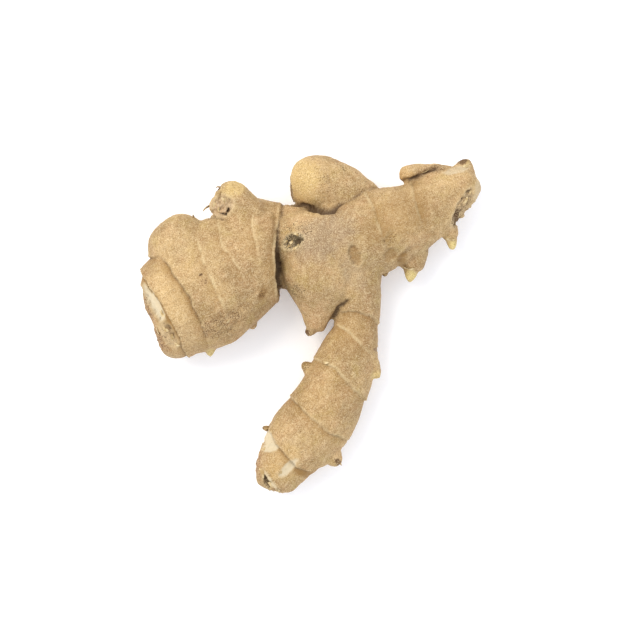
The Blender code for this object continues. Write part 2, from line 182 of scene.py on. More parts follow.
# What marks the skin, seen from above: (x, y), half length and half width, turn in degrees, then the height
# of its floor and of its rim, its roughness, and how far it takes the colour of each of the skin's states.
BLEMISHES = {
    "end_scar": ((-59.2, 8.3), (7.2, 2.0), -61, -0.9, 0.5, 0.5, {"flesh": 1.0}),
    "end_scar_flakes": (
        (-53.4, -3.4), (4.8, 2.2), -58, -0.3, 0.5, 1.1,
        {"flesh": 0.3, "gold": 0.5, "cork": 0.22},
    ),
    "end_scar_edge": ((-62.9, 8), (8.5, 1.8), -66, 0.0, 0.0, 0.8, {"cork": 0.45, "rose": 0.7}),
    "end_scar_foot": ((-58, -4.5), (7.0, 2.2), -52, 0.0, 0.0, 0.9, {"cork": 0.42, "rose": 0.8}),
    # Painted shade in the groove beside the end scar.
    "end_scar_groove": ((-55.2, 3.5), (9.0, 1.2), -62, -0.5, 0.0, 0.1, {"shade": 0.9}),
    "eye_scar": ((-6.5, 31.5), (3.7, 2.9), 25, -0.9, 0.9, 1.6, {"moss": 0.43, "flesh": 0.35}),
    "eye_core": ((-5.6, 31.6), (1.5, 1.1), 40, -0.8, 0.3, 0.6, {"moss": 0.45}),
    "eye_halo": ((-6.5, 33.5), (8.5, 6.0), 20, 0.0, 0.0, 0.3, {"moss": 0.3}),
    # Painted shade in the oval dent.
    "oval_dent": ((16.5, 26), (4.2, 2.2), 105, -0.9, 0.35, 0.4, {"shade": 0.5, "cork": 0.22}),
    "arm_marks": ((30, 32.5), (3.6, 2.2), 35, -0.3, 0.2, 0.9, {"cork": 0.3}),
    # Painted shade in the arm's dimple.
    "arm_dimple": ((30, 26.5), (3.0, 2.0), 50, -0.8, 0.2, 0.3, {"shade": 0.5}),
    "low_patch": ((-33.5, 0.2), (8.5, 4.6), 20, 0.0, 0.0, 0.5, {"cork": 0.36}),
    "left_middle_light": ((-40, 22), (9, 7), 60, 0.0, 0.0, 0.0, {"light": 0.35, "gold": 0.2}),
    "snout_light": ((6, 8), (8, 6), 60, 0.0, 0.0, 0.0, {"light": 0.25}),
    "neck_light": ((17, 20), (5, 5), 60, 0.0, 0.0, 0.0, {"light": 0.25}),
    "low_patch_upper": ((-25, 7), (5.5, 3.0), 25, 0.0, 0.0, 0.3, {"cork": 0.22}),
    "left_pit": ((-41, 19), (0.7, 0.5), 30, -0.5, 0.0, 0.0, {"cork": 0.9}),
    "left_pit_mark": ((-40, 16), (1.8, 1.1), 20, -0.1, 0.0, 0.3, {"cork": 0.38, "rose": 0.4}),
    "brown_spot": ((-18, 12), (2.6, 1.4), 70, -0.2, 0.1, 0.2, {"cork": 0.42, "shade": 0.8}),
    "crown_scar": (
        (-33.5, 44.8), (4.6, 3.8), 35, -0.2, 0.6, 2.0,
        {"flesh": 0.3, "rose": 0.9, "cork": 0.15},
    ),
    # Painted shade in the crown's clefts, over brown cork.
    "crown_cleft": ((-31.2, 43.0), (1.9, 0.4), 60, -1.1, 0.3, 0.1, {"cork": 0.45, "hollow": 0.45}),
    "crown_cleft_across": (
        (-32.8, 41.7), (1.3, 0.35), -15, -0.8, 0.2, 0.1,
        {"cork": 0.4, "hollow": 0.35},
    ),
    "crown_cleft_upper": ((-34.6, 48.6), (2.2, 0.35), 70, -0.7, 0.3, 0.1, {"cork": 0.3, "shade": 0.5}),
    "crown_dome": ((-29, 51.5), (4.4, 3.4), 20, 0.4, 0.0, 0.1, {"gold": 0.8, "sprout": 0.3}),
    "crown_dark_edge": ((-35, 52), (1.4, 1.0), 40, -0.3, 0.2, 0.3, {"cork": 0.8}),
    "middle_corner": ((-5, 13), (4.5, 2.8), -40, -0.2, 0.0, 0.3, {"moss": 0.4}),
    "middle_bloom": ((5, 33), (12, 8), 30, 0.0, 0.0, 0.0, {"bloom": 1.0}),
    "middle_bloom_low": ((16, 19.5), (6, 4), 120, 0.0, 0.0, 0.0, {"bloom": 0.7}),
    "round_gold": ((-4, 56), (7, 8), 60, 0.0, 0.0, 0.0, {"gold": 0.8, "sprout": 0.25}),
    "round_speckle": ((5.5, 54), (3.6, 3), 30, 0.0, 0.0, 0.25, {"cork": 0.3}),
    "round_edge": ((-7.8, 51.5), (6.5, 0.8), 98, -0.2, 0.3, 0.3, {"cork": 0.6}),
    "round_rear": ((15, 51), (8, 4.5), 25, 0.0, 0.0, 0.2, {"cork": 0.14, "light": 0.15}),
    "round_green": ((12.6, 59.5), (1.0, 1.6), 20, -0.2, 0.1, 0.0, {"moss": 0.5}),
    "snout_tip": ((-1.8, -2.8), (1.6, 1.2), 0, 0.0, 0.2, 0.3, {"cork": 0.9}),
    "snout_rose": ((2.5, 3), (4.5, 3.0), 60, 0.0, 0.0, 0.0, {"rose": 0.7}),
    "arm_end_tear": (
        (57.6, 44.8), (7.4, 2.6), 62, -0.6, 0.5, 1.6,
        {"flesh": 0.3, "gold": 0.6, "cork": 0.36},
    ),
    "arm_tan": ((33, 41), (15, 9), 25, 0.0, 0.0, 0.0, {"shade": 0.34}),
    "arm_end_tan": ((46, 48), (8, 6), 40, 0.0, 0.0, 0.0, {"light": 0.2}),
    "arm_end_brown": ((55.3, 40.3), (3.0, 1.4), 66, -0.4, 0.2, 0.8, {"cork": 0.42}),
    "arm_grey_edge": ((55, 58.7), (5.0, 1.3), 14, -0.1, 0.1, 0.2, {"bloom": 0.5, "flesh": 0.45}),
    "first_bud_tip": ((37.8, 17.9), (2.6, 3.3), 0, 0.0, 0.0, 0.0, {"sprout": 1.0}),
    "second_bud_tip": ((53.9, 30.4), (2.0, 2.2), 0, 0.0, 0.0, 0.0, {"sprout": 0.9}),
    "scale_bud_tip": ((25, -19), (1.6, 2.2), 100, 0.0, 0.0, 0.0, {"sprout": 0.6}),
    "scale_bud_notch": ((25.2, -9.2), (0.9, 1.5), 80, -0.5, 0.0, 0.2, {"cork": 0.6}),
    "side_bud_tip": ((-2, -15.5), (1.8, 1.8), 0, 0.0, 0.0, 0.1, {"cork": 0.5}),
    "spur_rim": ((10.3, -52.3), (1.8, 1.2), -50, 0.0, 0.0, 0.3, {"cork": 0.7}),
    "peel_upper": ((-16.6, -42.8), (4.7, 2.2), -62, -0.45, 0.25, 0.1, {"flesh": 1.0}),
    "peel_upper_foot": ((-15.4, -46.4), (3.2, 1.4), 12, -0.45, 0.2, 0.1, {"flesh": 1.0}),
    "peel_lower": ((-8.6, -53.8), (4.2, 1.7), 47, -0.45, 0.3, 0.15, {"flesh": 1.0}),
    "finger_tip_gold": ((-11, -52), (8, 5), 45, 0.0, 0.0, 0.1, {"gold": 0.7}),
    "finger_neck_tan": ((16, -4), (8, 6), 60, 0.0, 0.0, 0.0, {"shade": 0.2}),
    "finger_middle_tan": ((5, -30), (10, 7), 60, 0.0, 0.0, 0.0, {"shade": 0.17}),
    # Painted shade in the finger tip's hole, over its grey-green.
    "tip_hole": ((-16.8, -59.0), (2.6, 1.3), 110, -1.5, 0.8, 0.9, {"moss": 0.75, "hollow": 0.35}),
    "tip_ridge": ((-15.2, -58.6), (5.4, 0.55), 124, 0.6, 0.0, 0.8, {"flesh": 0.75, "pale": 0.5}),
    "tip_side": ((-20, -52), (4.8, 1.6), 85, 0.2, 0.0, 0.7, {"cork": 0.36, "rose": 0.7}),
    "tip_notch": ((-7.6, -64.6), (1.4, 1.0), 20, -0.5, 0.3, 0.4, {"cork": 0.9}),
    "tip_foot": ((-13, -63.4), (5.5, 1.6), -12, 0.0, 0.0, 0.6, {"cork": 0.3, "moss": 0.3}),
    "peel_shade": ((-2.6, -56.3), (3.4, 1.3), -20, -0.2, 0.0, 0.0, {"shade": 0.9}),
    "arm_end_fringe": ((63.6, 53), (5.5, 1.5), 80, 0.0, 0.0, 0.3, {"flesh": 0.45, "gold": 0.4}),
    "horn_spot": ((57.4, 62.4), (1.9, 1.5), 30, -0.2, 0.0, 0.3, {"cork": 0.95}),
    "lip_gold": ((35.5, 57.8), (3.0, 2.6), 0, 0.0, 0.0, 0.0, {"gold": 0.6}),
    "lip_brown": ((47, 59.6), (6.0, 1.6), 8, 0.0, 0.0, 0.2, {"cork": 0.35, "bloom": 0.3}),
    # Painted shade where the first bud comes out from under the arm.
    "first_bud_foot": ((34.3, 25.2), (2.4, 1.8), 60, -0.2, 0.0, 0.1, {"shade": 0.8}),
    # Painted shade in a band along the end ring, on the scar's side of its groove.
    "end_scar_painted_shade": ((-57.5, 6), (12.0, 2.6), -60, 0.0, 0.0, 0.0, {"shade": 0.4}),
    "left_band_light": ((-52, 10), (12, 5), -58, 0.0, 0.0, 0.0, {"gold": 0.6, "light": 0.6}),
    "left_top_light": ((-51, 30), (9, 6), 20, 0.0, 0.0, 0.0, {"light": 0.35}),
    "left_foot_light": ((-46, -3), (7, 5), 0, 0.0, 0.0, 0.0, {"light": 0.3, "bloom": 0.2}),
    "finger_end_light": ((-7, -47), (9, 6), 45, 0.0, 0.0, 0.0, {"light": 0.3}),
    "bud_under_lobe": ((-38, -10.8), (1.8, 1.8), 0, 0.0, 0.0, 0.2, {"sprout": 0.9}),
}
# Values from 0 to 1 that the shaping leaves on every point of the skin, except fibre, which goes below 0 too.
STATES = (
    "pale", "flesh", "cork", "gold", "moss", "bloom", "rose", "shade", "light", "sprout", "hollow", "fibre",
)


# The stubs of thin roots, dried to hairs, in the lobes' own terms.
ROOTLETS = {
    "crown_hair": (1, [
        (-33, 51, 19, 0.6), (-34.4, 52.4, 19.4, 0.4), (-35.4, 52.6, 20, 0.25), (-36, 52, 20.4, 0.15),
    ]),
    "crown_hook": (1, [
        (-36.5, 45.8, 21.5, 0.6), (-38.8, 45, 22, 0.4), (-40.2, 44, 22, 0.25), (-40.8, 43, 22, 0.15),
    ]),
    "shoulder_hair": (1, [(-43.5, 39, 20, 0.6), (-44.2, 40.6, 21, 0.4), (-44.6, 42, 21.4, 0.2)]),
    "arm_stub": (1, [(29, 23, 13, 1.8), (28.4, 20.6, 12.4, 1.3), (27.9, 18.6, 12, 0.8)]),
    "finger_stub": (1, [(-16, -39.5, 12, 1.4), (-17.6, -39, 12.4, 0.9), (-18.6, -38.9, 12.6, 0.5)]),
    "spur_hair": (1, [(9.6, -51, 13, 0.5), (11.2, -52.4, 13.2, 0.35), (11.6, -53.4, 13.4, 0.2)]),
    "heel_hair": (1, [(-54, -8.4, 14, 0.6), (-55.2, -9.6, 14, 0.4), (-55.8, -10.4, 13.6, 0.2)]),
}

# Papery scraps of leaf sheath that still stick up, seen from above: (x, y), length, width, turn in degrees
# and how far they curl up, in millimetres.
SCALES = {
    "eye_rim_low": ((-8.6, 29.4), 3.6, 1.5, -40, 0.6),
    "eye_rim_left": ((-9.7, 31.8), 2.8, 1.2, -80, 0.6),
    "eye_rim_foot": ((-5.6, 28.9), 2.8, 1.2, 5, 0.5),
    "eye_flake": ((-7.2, 31.2), 2.0, 1.0, 30, 0.5),
    "eye_flake_small": ((-4.6, 30.2), 1.5, 0.8, 100, 0.4),
    "eye_rim_top": ((-5, 34.2), 3.0, 0.9, 160, 0.4),
    "end_strip_top": ((-60.4, 13.4), 4.0, 1.2, -55, 0.35),
    "end_strip_edge": ((-55.9, 4.2), 3.4, 0.9, -60, 0.5),
    "end_scrap": ((-54.8, -1.4), 3.2, 1.3, -40, 0.35),
    "end_scrap_low": ((-52.2, -4.6), 3.0, 1.2, -65, 0.35),
    "end_scrap_foot": ((-50.4, -7.2), 2.4, 1.0, -30, 0.35),
    "end_scrap_rim": ((-57.6, -2.2), 3.2, 1.1, -55, 0.35),
    "crown_scrap": ((-34.6, 43.4), 2.6, 1.2, 20, 0.4),
    "crown_scrap_top": ((-32.6, 47.0), 2.8, 1.1, 120, 0.6),
    "crown_scrap_side": ((-36.4, 45.6), 2.4, 1.1, 75, 0.4),
    "first_bud_sheath": ((37.2, 21.6), 4.6, 1.5, 5, 0.7),
    "second_bud_sheath": ((52.8, 32.6), 3.6, 1.2, -10, 0.6),
    "tip_rim_top": ((-18.4, -55.8), 4.2, 0.9, 115, 0.6),
    "tip_rim_low": ((-15.2, -60.2), 4.0, 0.9, 140, 0.6),
    "tip_rim_foot": ((-12.2, -62.6), 3.2, 0.9, 150, 0.5),
    "peel_curl": ((-11.4, -55.6), 2.4, 1.1, 50, 0.4),
    "peel_curl_upper": ((-17.8, -47.2), 2.4, 1.0, 10, 0.5),
    "arm_tear_scrap": ((58.6, 47.2), 3.2, 1.2, 60, 0.4),
    "arm_tear_scrap_low": ((56.2, 42.2), 2.8, 1.1, 75, 0.4),
    "arm_tear_scrap_edge": ((60.4, 50.6), 2.8, 1.0, 80, 0.4),
    "horn_scrap": ((58.6, 60.2), 2.4, 1.0, 20, 0.5),
    "lip_scrap": ((43.6, 58.6), 3.4, 0.9, 18, 0.4),
    "finger_ring_scrap": ((5.6, -14.2), 3.0, 0.9, -15, 0.4),
    "low_patch_scrap": ((-31, 1.6), 1.8, 0.8, 40, 0.4),
}


def linear(hex_colour):
    """An sRGB hex colour as linear RGBA."""
    shares = [int(hex_colour[i:i + 2], 16) / 255 for i in (1, 3, 5)]
    return tuple(c / 12.92 if c <= 0.04045 else ((c + 0.055) / 1.055) ** 2.4 for c in shares) + (1.0,)


def clear_selection():
    if bpy.context.object and bpy.context.object.mode != "OBJECT":
        bpy.ops.object.mode_set(mode="OBJECT")
    bpy.ops.object.select_all(action="DESELECT")


def apply_all(piece):
    clear_selection()
    piece.select_set(True)
    bpy.context.view_layer.objects.active = piece
    for modifier in list(piece.modifiers):
        bpy.ops.object.modifier_apply(modifier=modifier.name)


# ---------------------------------------------------------------- the blank


def headings(centres):
    """The plan direction of a lobe at each of its stations, from the stations on either side."""
    last = len(centres) - 1
    steps = [centres[min(i + 1, last)] - centres[max(i - 1, 0)] for i in range(len(centres))]
    return [math.atan2(step.y, step.x) for step in steps]


def model_lobe(name, flatness, stations):
    """Extrudes an upright 12-sided face through the stations, turning and sizing it at each one."""
    centres = [Vector(station[:3]) * MM for station in stations]
    half_widths = [station[3] * MM / RING_SHRINK for station in stations]
    turns = headings(centres)
    clear_selection()
    bpy.ops.mesh.primitive_circle_add(
        vertices=CAGE_SIDES,
        radius=half_widths[0],
        fill_type="NGON",
        location=centres[0],
        rotation=(math.pi / 2, 0, turns[0] + math.pi / 2),
    )
    lobe = bpy.context.object
    lobe.name = name
    bpy.ops.object.transform_apply(location=True, rotation=True, scale=True)
    bpy.ops.object.mode_set(mode="EDIT")
    bpy.ops.mesh.select_mode(type="FACE")
    bpy.ops.mesh.select_all(action="SELECT")
    bpy.ops.transform.resize(value=(1, 1, flatness), center_override=centres[0])
    for i in range(1, len(stations)):
        step = centres[i] - centres[i - 1]
        bpy.ops.mesh.extrude_region_move(TRANSFORM_OT_translate={"value": step})
        # With no window, transform.rotate turns the other way.
        bpy.ops.transform.rotate(value=turns[i - 1] - turns[i], orient_axis="Z", center_override=centres[i])
        growth = half_widths[i] / half_widths[i - 1]
        bpy.ops.transform.resize(value=(growth, growth, growth), center_override=centres[i])
    bpy.ops.mesh.select_all(action="SELECT")
    bpy.ops.mesh.normals_make_consistent(inside=False)
    bpy.ops.object.mode_set(mode="OBJECT")
    return lobe


def fuse_lobes(name, voxel):
    """Models every lobe's cage, rounds them and grows them into one skin."""
    lobes = [model_lobe(lobe, *shape) for lobe, shape in LOBES.items()]
    clear_selection()
    for lobe in lobes:
        lobe.select_set(True)
    bpy.context.view_layer.objects.active = lobes[0]
    bpy.ops.object.join()
    root = bpy.context.object
    root.name = root.data.name = name
    rounding = root.modifiers.new("rounding", "SUBSURF")
    rounding.levels = rounding.render_levels = CAGE_LEVELS
    fusing = root.modifiers.new("fusing", "REMESH")
    fusing.mode = "VOXEL"
    fusing.voxel_size = voxel
    softening = root.modifiers.new("softening", "SMOOTH")
    softening.factor = 0.5
    softening.iterations = 3
    apply_all(root)
    clear_selection()
    root.select_set(True)
    bpy.ops.object.transform_apply(location=True, rotation=True, scale=True)
    return root


def join_all(parts, name):
    clear_selection()
    for part in parts:
        part.select_set(True)
    bpy.context.view_layer.objects.active = parts[0]
    bpy.ops.object.join()
    piece = bpy.context.object
    piece.name = piece.data.name = name
    bpy.ops.object.transform_apply(location=True, rotation=True, scale=True)
    bpy.ops.object.shade_smooth()
    return piece


def model_scale(name, root, at, length, width, turn, curl):
    """A ragged scrap laid on the root at a place seen from above. One long edge sticks up."""
    clear_selection()
    bpy.ops.mesh.primitive_grid_add(x_subdivisions=10, y_subdivisions=4, size=1)
    scale = bpy.context.object
    scale.name = name
    bpy.ops.transform.resize(value=(length * MM, width * MM, 1))
    bpy.ops.object.transform_apply(location=True, rotation=True, scale=True)
    flat = np.empty(len(scale.data.vertices) * 3)
    scale.data.vertices.foreach_get("co", flat)
    points = flat.reshape(-1, 3) / MM
    lengthways, crossways = 2 * points[:, 0] / length, 2 * points[:, 1] / width
    seeded = np.stack([points[:, 0], crossways * 0.2, np.full(len(points), at[0] + at[1])], axis=1)
    bow = 0.12 * length * lengthways**2
    # The ends narrow, the edges are ragged, and the scrap bows along and down over the root's curve.
    points[:, 1] *= (1 - 0.75 * lengthways**4) * (1 + 0.5 * lumps(seeded, 0.8, 900))
    points[:, 1] += bow
    raised = np.clip(0.5 + 0.5 * crossways, 0, 1) ** 1.5
    points[:, 2] = 0.05 + curl * raised * (0.75 + 0.5 * lumps(seeded, 1.1, 901))
    points[:, 2] -= 0.5 * bow
    scale.data.vertices.foreach_set("co", (points * MM).ravel())
    thick = scale.modifiers.new("thick", "SOLIDIFY")
    thick.thickness = SCALE_THICKNESS
    thick.offset = 0.0
    rounded = scale.modifiers.new("rounded", "SUBSURF")
    rounded.levels = rounded.render_levels = 1
    apply_all(scale)
    found, place, normal, _ = root.ray_cast((at[0] * MM, at[1] * MM, 0.1), (0, 0, -1))
    if not found:
        raise RuntimeError(f"{name} isn't over the root")
    leaning = normal.to_track_quat("Z", "Y").to_matrix().to_4x4()
    heading = leaning.inverted() @ Vector((math.cos(math.radians(turn)), math.sin(math.radians(turn)), 0))
    scale.matrix_world = (
        Matrix.Translation(place) @ leaning @ Matrix.Rotation(math.atan2(heading.y, heading.x), 4, "Z")
    )
    bpy.ops.object.transform_apply(location=True, rotation=True, scale=True)
    return scale


# ---------------------------------------------------------------- reading and shaping the skin


def smoothstep(low, high, value):
    """Takes a value from low..high to 0..1, with no sharp bend at either end."""
    share = np.clip((value - low) / (high - low), 0, 1)
    return share * share * (3 - 2 * share)


def hashed(cells, seed):
    """A repeatable number from 0 to 1 for every cell."""
    x, y, z = (cells[:, i].astype(np.uint64) for i in range(3))
    mixed = (x * np.uint64(73856093)) ^ (y * np.uint64(19349663)) ^ (z * np.uint64(83492791))
    mixed = (mixed + np.uint64(seed * 2654435761)) & np.uint64(0xFFFFFFFF)
    mixed = ((mixed ^ (mixed >> np.uint64(15))) * np.uint64(2246822519)) & np.uint64(0xFFFFFFFF)
    mixed = ((mixed ^ (mixed >> np.uint64(13))) * np.uint64(3266489917)) & np.uint64(0xFFFFFFFF)
    return (mixed ^ (mixed >> np.uint64(16))).astype(float) / 0xFFFFFFFF


def lumps(points, size, seed):
    """Smooth noise from -1 to 1 whose lumps are about size wide. The size is one number or three."""
    scaled = points / size + 1000.0
    cell = np.floor(scaled).astype(np.int64)
    share = scaled - cell
    share = share * share * (3 - 2 * share)
    total = np.zeros(len(points))
    for corner in np.ndindex(2, 2, 2):
        weight = np.ones(len(points))
        for axis in range(3):
            weight = weight * (share[:, axis] if corner[axis] else 1 - share[:, axis])
        total += weight * hashed(cell + np.array(corner), seed)
    return 2 * total - 1


def specks(points, spacing, radius, seed):
    """Dots strewn about one to a cell of the spacing, each 1 at its middle and 0 at the radius."""
    scaled = points / spacing + 1000.0
    home = np.floor(scaled).astype(np.int64)
    nearest = np.full(len(points), 9.0)
    for step in np.ndindex(3, 3, 3):
        cell = home + np.array(step) - 1
        dot = cell + np.stack([hashed(cell, seed + i) for i in range(3)], axis=1)
        nearest = np.minimum(nearest, np.linalg.norm(scaled - dot, axis=1))
    return np.clip(1 - nearest * spacing / radius, 0, 1)


class Skin:
    """The root's surface as arrays: points and normals in millimetres, and a value of each state."""

    def __init__(self, mesh):
        self.mesh = mesh
        count = len(mesh.vertices)
        edges = np.empty(len(mesh.edges) * 2, np.int64)
        mesh.edges.foreach_get("vertices", edges)
        self.edges = edges.reshape(-1, 2)
        self.neighbours = np.bincount(self.edges.ravel(), minlength=count).astype(float)
        self.states = {name: np.zeros(count) for name in STATES}
        self.read()

    def read(self):
        count = len(self.mesh.vertices)
        flat = np.empty(count * 3)
        self.mesh.vertices.foreach_get("co", flat)
        self.points = flat.reshape(-1, 3) / MM
        self.mesh.vertex_normals.foreach_get("vector", flat)
        self.normals = flat.reshape(-1, 3).copy()

    def push(self, heights):
        """Moves every point along its normal by its height, and reads the new surface."""
        moved = self.points + self.normals * heights[:, None]
        moved[:, 2] = np.maximum(moved[:, 2], 0.0)
        self.mesh.vertices.foreach_set("co", (moved * MM).ravel())
        self.mesh.update()
        self.read()

    def spread(self, values, repeats):
        """Averages each point's value with its neighbours', again and again."""
        first, second = self.edges.T
        for _ in range(repeats):
            total = np.bincount(first, values[second], len(values))
            total += np.bincount(second, values[first], len(values))
            values = 0.5 * values + 0.5 * total / self.neighbours
        return values

    def hollowness(self, repeats):
        """How far each point lies below the surface that its surroundings average to."""
        smooth = np.stack([self.spread(self.points[:, i], repeats) for i in range(3)], axis=1)
        return ((smooth - self.points) * self.normals).sum(axis=1)

    def store(self):
        for name, values in self.states.items():
            self.mesh.attributes.new(name, "FLOAT", "POINT").data.foreach_set("value", values)


def line_distance(points, line):
    """Plan distance from a line, positive on its left, and how far beyond the line's ends a point lies."""
    line = np.array(line, float)
    best = np.full(len(points), 1e9)
    signed, beyond = np.zeros(len(points)), np.zeros(len(points))
    for i in range(len(line) - 1):
        along = line[i + 1] - line[i]
        length = np.linalg.norm(along)
        along = along / length
        offset = points[:, :2] - line[i]
        travel = offset @ along
        low = -1e9 if i == 0 else 0.0
        high = 1e9 if i == len(line) - 2 else length
        reached = np.clip(travel, low, high)
        gap = offset - reached[:, None] * along
        distance = np.linalg.norm(gap, axis=1)
        nearer = distance < best
        side = np.sign(along[0] * offset[:, 1] - along[1] * offset[:, 0])
        best = np.where(nearer, distance, best)
        signed = np.where(nearer, side * distance, signed)
        past = np.maximum(-travel if i == 0 else 0, travel - length if i == len(line) - 2 else 0)
        beyond = np.where(nearer, np.maximum(past, 0), beyond)
    return signed, beyond


def lobe_reading(points, flatness, stations):
    """For every point: its share of the lobe's half width, how far along the lobe it lies, and round it."""
    stations = np.array(stations, float)
    best = np.full(len(points), 1e9)
    along, around = np.zeros(len(points)), np.zeros(len(points))
    travelled = 0.0
    for start, end in zip(stations[:-1], stations[1:]):
        axis = end[:3] - start[:3]
        length = np.linalg.norm(axis)
        axis = axis / length
        offset = points - start[:3]
        travel = np.clip(offset @ axis, 0, length)
        gap = offset - travel[:, None] * axis
        sideways = gap @ np.array([-axis[1], axis[0], 0.0])
        height = gap[:, 2] / flatness
        lengthways = gap @ axis
        half_width = start[3] + (end[3] - start[3]) * travel / length
        share = np.sqrt(sideways**2 + height**2 + lengthways**2) / half_width
        nearer = share < best
        best = np.where(nearer, share, best)
        along = np.where(nearer, travelled + travel + lengthways, along)
        around = np.where(nearer, np.arctan2(sideways, height) * half_width, around)
        travelled += length
    return best, along, around


def swell(skin, amount):
    """The slow unevenness of a thing that grew."""
    slow, quick = lumps(skin.points, 14, 1), lumps(skin.points, 6, 2)
    skin.push(amount * (0.75 * slow + 0.5 * quick + 0.2 * lumps(skin.points, 3, 3)))


def belongs(readings, lobe):
    """How surely each point is on this lobe and not on another."""
    others = np.min([reading[0] for name, reading in readings.items() if name != lobe], axis=0)
    return smoothstep(-0.12, 0.1, others - readings[lobe][0])


def mark_rings(skin, readings, strength):
    """Raises each ring's papery lip, sinks the groove beyond it and lets the lobe swell up to it."""
    heights = np.zeros(len(skin.points))
    for i, (lobe, line, lip, groove, paleness, reach) in enumerate(RINGS.values()):
        distance, beyond = line_distance(skin.points, line)
        tip = np.array([LOBES[lobe][1][-1][:3]], float)
        if line_distance(tip, line)[0][0] < 0:
            distance = -distance
        distance = distance + 0.45 * lumps(skin.points, 4, 40 + i) + 0.2 * lumps(skin.points, 1.6, 60 + i)
        held = belongs(readings, lobe) * np.exp(-((beyond / reach) ** 2))
        held = held * (0.78 + 0.22 * lumps(skin.points, 6, 80 + i))
        crest = np.exp(-(((distance + 0.15) / 0.4) ** 2))
        before = np.exp(np.minimum(distance, 0) / 5) * (1 - smoothstep(-0.2, 0.35, distance))
        beyond_it = np.exp(-np.maximum(distance - 0.35, 0) / 3) * smoothstep(-0.2, 0.35, distance)
        heights += strength * held * (lip * (0.35 * crest + 0.9 * before) - (groove + 0.25) * beyond_it)
        broken = smoothstep(-0.7, 0.2, lumps(skin.points, 2.2, 90 + i))
        skin.states["pale"] += held * paleness * broken * np.exp(-(((distance + 0.05) / 0.45) ** 2))
        # Painted shade: beyond each ring's groove the skin is darkened to a tan, as if shadowed by the lip.
        painted_shade_beyond_ring = np.exp(-np.maximum(distance - 0.6, 0) / 2.2) * smoothstep(0.1, 0.7, distance)
        skin.states["shade"] += held * min(0.45 + 0.6 * groove, 1) * painted_shade_beyond_ring
        # Painted shade in the groove itself, through hollow.
        skin.states["hollow"] += 0.3 * held * min(groove, 1) * np.exp(-(((distance - 0.5) / 0.4) ** 2))
    skin.push(heights)


def press_creases(skin):
    """Sinks the folds between lobes and paints dirt and shade into them."""
    heights = np.zeros(len(skin.points))
    faces_up = smoothstep(-0.5, 0.0, skin.normals[:, 2])
    for i, (line, depth, half_width, dirt_and_shade) in enumerate(CREASES.values()):
        distance, beyond = line_distance(skin.points, line)
        distance = distance + 0.5 * lumps(skin.points, 3.5, 140 + i) + 0.3 * lumps(skin.points, 1.4, 160 + i)
        held = faces_up * np.exp(-((beyond / 2.5) ** 2)) * (0.8 + 0.3 * lumps(skin.points, 3, 180 + i))
        fold = np.exp(-((distance / half_width) ** 2))
        heights -= depth * held * fold
        # Painted shade and dirt: each fold is darkened through hollow.
        skin.states["hollow"] += dirt_and_shade * held * np.exp(-((distance / (1.2 * half_width)) ** 2))
    skin.push(heights)


def mark_blemishes(skin):
    """Sinks, lifts, roughens and colours the scars, buds and patches."""
    heights = np.zeros(len(skin.points))
    faces_up = smoothstep(-0.35, 0.05, skin.normals[:, 2])
    for i, (at, size, turn, depth, rim, rough, colours) in enumerate(BLEMISHES.values()):
        offset = skin.points[:, :2] - np.array(at)
        turned = math.radians(turn)
        lengthways = offset @ np.array([math.cos(turned), math.sin(turned)]) / size[0]
        crossways = offset @ np.array([-math.sin(turned), math.cos(turned)]) / size[1]
        share = np.hypot(lengthways, crossways)
        near = share < 2.5
        spot = skin.points[near]
        ragged = share[near] + 0.16 * lumps(spot, 2.2, 100 + i) + 0.12 * lumps(spot, 1.0, 200 + i)
        softness = 0.18 if "flesh" in colours or depth < -0.5 else 0.45
        inside = (1 - smoothstep(1 - softness, 1 + softness, ragged)) * faces_up[near]
        edge = np.exp(-(((ragged - 1.05) / 0.2) ** 2)) * faces_up[near]
        heights[near] += depth * inside + rim * edge * (0.7 + 0.5 * lumps(spot, 1.3, 300 + i))
        heights[near] += rough * inside * (0.6 * lumps(spot, 1.1, 400 + i) + 0.4 * lumps(spot, 2.4, 500 + i))
        for state, strength in colours.items():
            skin.states[state][near] += strength * inside * (1 + 0.35 * lumps(spot, 1.6, 600 + i))
        if rim:
            skin.states["pale"][near] += 0.6 * min(rim, 1) * edge
    skin.push(heights)


def draw_fibres(skin, readings, depth):
    """The fine fibres that run along each lobe, and the small wrinkles between them."""
    names = list(readings)
    shares = np.stack([readings[name][0] for name in names])
    weights = np.exp(-14 * (shares - shares.min(axis=0)))
    weights = weights / weights.sum(axis=0)
    coarse, fine = np.zeros(len(skin.points)), np.zeros(len(skin.points))
    for i, name in enumerate(names):
        held = weights[i] > 0.01
        _, along, around = (values[held] for values in readings[name])
        wander = 0.8 * lumps(skin.points[held], 5, 700)
        straight = np.stack([around + wander, along, np.full(held.sum(), 40.0 * i)], axis=1)
        coarse[held] += weights[i][held] * lumps(straight, np.array([1.5, 6, 9]), 710 + i)
        fine[held] += weights[i][held] * lumps(straight, np.array([0.7, 2.2, 9]), 750 + i)
    pimples = lumps(skin.points, 0.95, 760)
    calm = 1 - np.clip(skin.states["flesh"] + 0.4 * skin.states["gold"], 0, 1)
    skin.states["fibre"] = 0.2 * coarse + 0.75 * fine + 0.6 * pimples
    skin.push(depth * (0.25 + 0.75 * calm) * (0.35 * coarse + 0.8 * fine + 0.8 * pimples))


